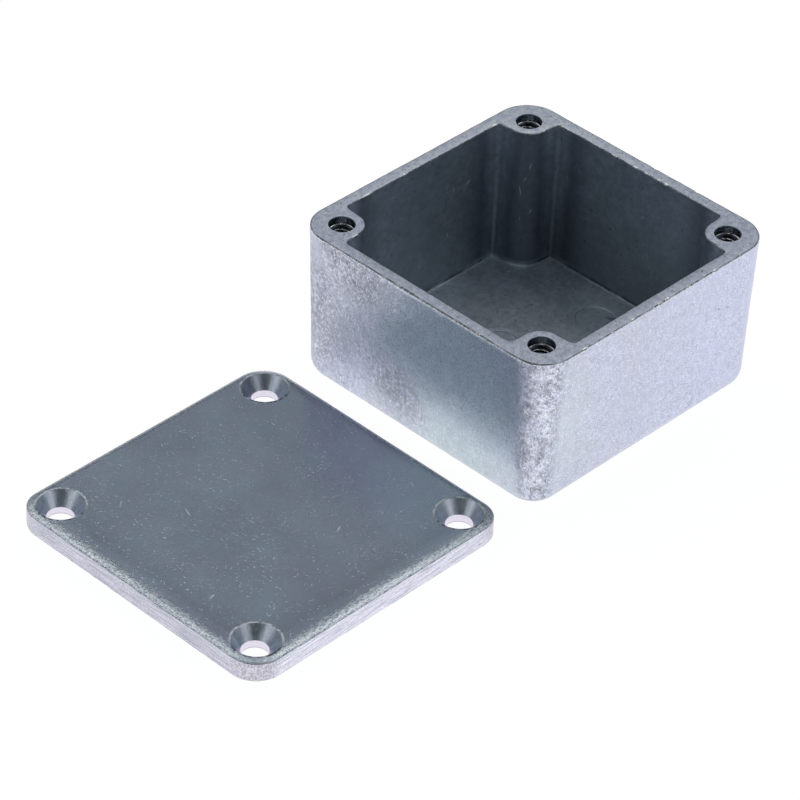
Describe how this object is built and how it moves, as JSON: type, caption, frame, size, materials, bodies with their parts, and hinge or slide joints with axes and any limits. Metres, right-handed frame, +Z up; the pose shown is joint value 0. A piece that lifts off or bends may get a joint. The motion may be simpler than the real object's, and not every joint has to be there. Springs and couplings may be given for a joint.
{
  "type": "die cast aluminium box",
  "caption": "Small square die cast aluminium enclosure, open, with threaded corner bosses and its countersunk lid lying beside it.",
  "frame": {"origin": "middle of the underside of the box, on the surface where it stands", "axes": "+Z up out of the open box; X and Y along the sides of the square box; the lid lies on the -X side"},
  "size_m": [0.1061, 0.0509, 0.027],
  "materials": {
    "body_casting": "bare casting, tumbled, grey and mottled outside and darker inside",
    "lid_casting": "bare casting, tumbled, satin grey top with brighter edges"
  },
  "bodies": {
    "root": {"box_body": "body_casting", "lid": "lid_casting"}
  },
  "joints": []
}
